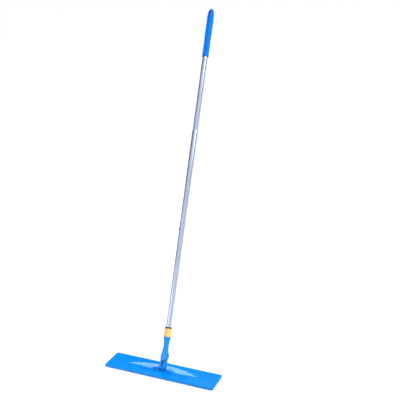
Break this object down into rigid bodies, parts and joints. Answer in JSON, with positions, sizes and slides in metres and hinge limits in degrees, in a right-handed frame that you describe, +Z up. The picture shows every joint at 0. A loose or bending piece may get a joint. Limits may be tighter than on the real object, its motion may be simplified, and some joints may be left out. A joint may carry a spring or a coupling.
{
  "type": "flat mop",
  "caption": "Flat mop with a long rectangular head on a two-way swivel, a locking collar and a telescopic aluminium pole with a hanging grip.",
  "frame": {"origin": "centre of the head's underside, on the face of the middle hook strip", "axes": "+X along the head's long side, +Y to the head's rear edge, over which the pole leans at rest, +Z up"},
  "size_m": [0.4, 0.6654, 1.1729],
  "materials": {
    "head_blue": "smooth moulded polypropylene, satin gloss",
    "neck_blue": "smooth moulded nylon, satin",
    "grip_blue": "fine-grained moulded grip",
    "collar_yellow": "satin moulded",
    "ring_black": "matte",
    "tube_aluminium": "drawn and anodised, satin",
    "steel": "zinc plated",
    "hook_tape": "woven nylon hook tape",
    "nylon_white": "natural nylon"
  },
  "bodies": {
    "head": {"head_plate": "head_blue", "hook_strip_front": "hook_tape", "hook_strip_middle": "hook_tape", "hook_strip_rear": "hook_tape", "swivel_bracket": "head_blue", "bracket_screw_left": "steel", "bracket_screw_right": "steel", "tilt_pin": "steel"},
    "yoke": {"yoke": "neck_blue"},
    "lower_pole": {"neck": "neck_blue", "swing_pin": "steel", "split_sleeve": "nylon_white", "seal_ring": "ring_black", "lower_tube": "tube_aluminium", "joint_insert": "grip_blue", "insert_rivet": "steel", "middle_tube": "tube_aluminium"},
    "collar": {"locking_collar": "collar_yellow"},
    "button": {"joint_button": "grip_blue", "button_spring": "steel"},
    "twist_lock": {"lock_ring": "nylon_white"},
    "upper_pole": {"expander_plug": "nylon_white", "upper_tube": "tube_aluminium", "grip_sleeve": "grip_blue", "hanging_end_cap": "grip_blue"}
  },
  "joints": [
    {"name": "head_tilt", "type": "hinge", "parent": "head", "child": "yoke", "pos_m": [0, 0, 0.015], "axis": [-1, 0, 0], "range_deg": [-108, 52]},
    {"name": "side_swing", "type": "hinge", "parent": "yoke", "child": "lower_pole", "pos_m": [0, 0.01718, 0.04732], "axis": [0, 0.8829, -0.4695], "range_deg": [-66.8, 73.2]},
    {"name": "collar_turn", "type": "hinge", "parent": "lower_pole", "child": "collar", "pos_m": [-0.00452, 0.05515, 0.11872], "axis": [-0.0558, 0.4687, 0.8816], "range_deg": [0, 90]},
    {"name": "button_press", "type": "slide", "parent": "lower_pole", "child": "button", "axis": [0.5525, 0.7499, -0.3638], "range_m": [0, 0.0026], "stiffness_N_per_m": 400},
    {"name": "pole_retract", "type": "slide", "parent": "lower_pole", "child": "twist_lock", "axis": [0.0558, -0.4687, -0.8816], "range_m": [0, 0.24]},
    {"name": "pole_twist", "type": "hinge", "parent": "twist_lock", "child": "upper_pole", "pos_m": [-0.04242, 0.37343, 0.71731], "axis": [-0.0558, 0.4687, 0.8816], "range_deg": [0, 90]}
  ]
}
